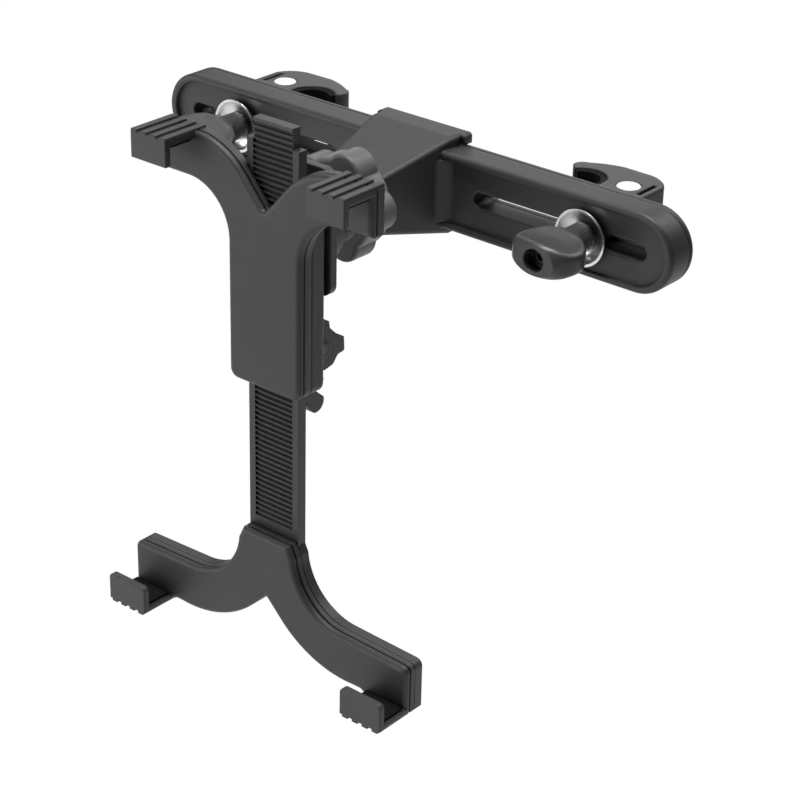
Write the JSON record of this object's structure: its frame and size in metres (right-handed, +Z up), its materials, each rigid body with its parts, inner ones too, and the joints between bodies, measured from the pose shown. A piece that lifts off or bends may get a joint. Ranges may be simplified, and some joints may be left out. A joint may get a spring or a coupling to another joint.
{
  "type": "headrest tablet holder",
  "caption": "Tablet holder that clamps to headrest posts with a slotted crossbar and holds a tablet in a sliding cradle on a ball joint.",
  "frame": {"origin": "middle of the crossbar's flat back face", "axes": "+X along the crossbar, +Z up, -Y forward to the tablet and the viewer"},
  "size_m": [0.25, 0.137, 0.219],
  "materials": {
    "black_plastic": "moulded, fine matte texture",
    "dark_steel": "blackened steel fasteners",
    "bright_steel": "bright pressed and turned steel",
    "black_rubber": "matte soft pads",
    "grey_nylon": "plain moulded",
    "black_ball": "smooth"
  },
  "bodies": {
    "crossbar": {"crossbar_front_shell": "black_plastic", "crossbar_back_plate": "black_plastic", "crossbar_screws": "dark_steel"},
    "ring_nut": {"lobed_ring_nut": "black_plastic"},
    "ball_seat": {"ball_seat_ring": "grey_nylon"},
    "ball": {"ball_stud": "black_ball", "stud_screw": "dark_steel"},
    "cradle": {"cradle_plate": "black_plastic", "plate_screws": "dark_steel", "cradle_front_shell": "black_plastic", "cradle_back_shell": "black_plastic", "shell_screws": "dark_steel", "lever_pin": "dark_steel", "upper_pad_left": "black_rubber", "upper_pad_right": "black_rubber"},
    "strap": {"sliding_strap": "black_plastic", "jaw_cover": "black_plastic", "jaw_cover_screws": "dark_steel", "lower_pad_left": "black_rubber", "lower_pad_right": "black_rubber"},
    "pawl": {"lock_pawl": "black_plastic"},
    "lever": {"release_lever": "black_plastic"},
    "carriage_left": {"cup_washer_left": "bright_steel"},
    "knob_left": {"wing_knob_left": "black_plastic", "clamp_screw_left": "dark_steel"},
    "hook_left": {"clamp_hook_left": "black_plastic", "hook_liner_left": "black_rubber", "barrel_nut_left": "bright_steel"},
    "carriage_right": {"cup_washer_right": "bright_steel"},
    "knob_right": {"wing_knob_right": "black_plastic", "clamp_screw_right": "dark_steel"},
    "hook_right": {"clamp_hook_right": "black_plastic", "hook_liner_right": "black_rubber", "barrel_nut_right": "bright_steel"}
  },
  "joints": [
    {"name": "carriage_slide_left", "type": "slide", "parent": "crossbar", "child": "carriage_left", "axis": [-1, 0, 0], "range_m": [-0.043, 0.018]},
    {"name": "knob_turn_left", "type": "hinge", "parent": "carriage_left", "child": "knob_left", "pos_m": [-0.086, -0.03, 0], "axis": [0, 1, 0], "range_deg": [-1080, 1044]},
    {"name": "hook_draw_left", "type": "slide", "parent": "carriage_left", "child": "hook_left", "axis": [0, -1, 0], "range_m": [-0.003, 0.0029]},
    {"name": "carriage_slide_right", "type": "slide", "parent": "crossbar", "child": "carriage_right", "axis": [1, 0, 0], "range_m": [-0.043, 0.018]},
    {"name": "knob_turn_right", "type": "hinge", "parent": "carriage_right", "child": "knob_right", "pos_m": [0.086, -0.03, 0], "axis": [0, 1, 0], "range_deg": [-1080, 1044]},
    {"name": "hook_draw_right", "type": "slide", "parent": "carriage_right", "child": "hook_right", "axis": [0, -1, 0], "range_m": [-0.003, 0.0029]},
    {"name": "ring_nut_turn", "type": "hinge", "parent": "crossbar", "child": "ring_nut", "pos_m": [0, -0.048, 0], "axis": [0, 1, 0], "range_deg": [-180, 0]},
    {"name": "ball_swivel", "type": "hinge", "parent": "crossbar", "child": "ball_seat", "pos_m": [0, -0.046, 0], "axis": [0, 1, 0], "range_deg": [-90, 90]},
    {"name": "ball_tilt", "type": "hinge", "parent": "ball_seat", "child": "ball", "pos_m": [0, -0.046, 0], "axis": [1, 0, 0], "range_deg": [-11, 11]},
    {"name": "cradle_spin", "type": "hinge", "parent": "ball", "child": "cradle", "pos_m": [0, -0.07, 0], "axis": [0, 1, 0], "continuous": true},
    {"name": "strap_slide", "type": "slide", "parent": "cradle", "child": "strap", "axis": [0, 0, -1], "range_m": [-0.0616, 0.044]},
    {"name": "lever_press", "type": "hinge", "parent": "cradle", "child": "lever", "pos_m": [0, -0.0714, -0.0501], "axis": [-1, 0, 0], "range_deg": [0, 10.1]},
    {"name": "pawl_draw", "type": "slide", "parent": "cradle", "child": "pawl", "axis": [0, 1, 0], "range_m": [0, 0.00114]}
  ],
  "couplings": [
    {"joint": "knob_turn_left", "follows": "hook_draw_left", "rad_per_m": 6283.2},
    {"joint": "knob_turn_right", "follows": "hook_draw_right", "rad_per_m": 6283.2},
    {"joint": "lever_press", "follows": "pawl_draw", "rad_per_m": 153.85}
  ]
}
